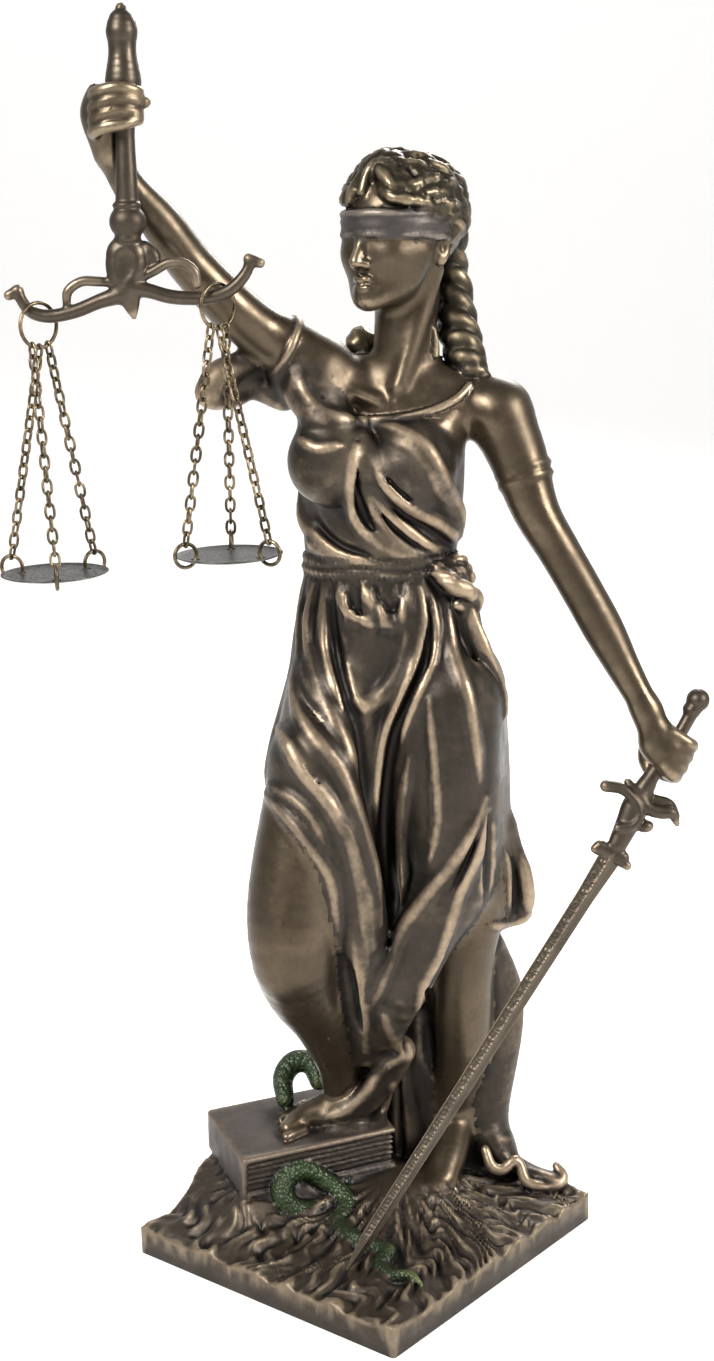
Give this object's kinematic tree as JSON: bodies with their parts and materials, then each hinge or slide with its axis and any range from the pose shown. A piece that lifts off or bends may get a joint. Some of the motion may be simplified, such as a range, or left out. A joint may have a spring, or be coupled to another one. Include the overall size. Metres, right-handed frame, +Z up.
{
  "type": "lady justice figurine",
  "caption": "Standing blindfolded woman in draped dress, raised arm holding balance scales, lowered arm resting a sword on a square base.",
  "frame": {"origin": "centre of the square base's underside", "axes": "+Z up; the base's sides lie along X and Y; the face looks along -Y"},
  "size_m": [0.1261, 0.1244, 0.3098],
  "materials": {
    "bronze": "semi-gloss, brown with dark recesses and rubbed edges",
    "brass": "aged",
    "dark_metal": "satin"
  },
  "bodies": {
    "root": {"statue": "bronze", "scale_beam": "bronze", "sword": "bronze", "hang_ring_left": "brass", "hang_ring_right": "brass", "chain_left_1": "brass", "chain_left_2": "brass", "chain_left_3": "brass", "chain_right_1": "brass", "chain_right_2": "brass", "chain_right_3": "brass", "pan_ring_left_1": "brass", "pan_ring_left_2": "brass", "pan_ring_left_3": "brass", "pan_ring_right_1": "brass", "pan_ring_right_2": "brass", "pan_ring_right_3": "brass", "pan_left": "dark_metal", "pan_right": "dark_metal"}
  },
  "joints": []
}
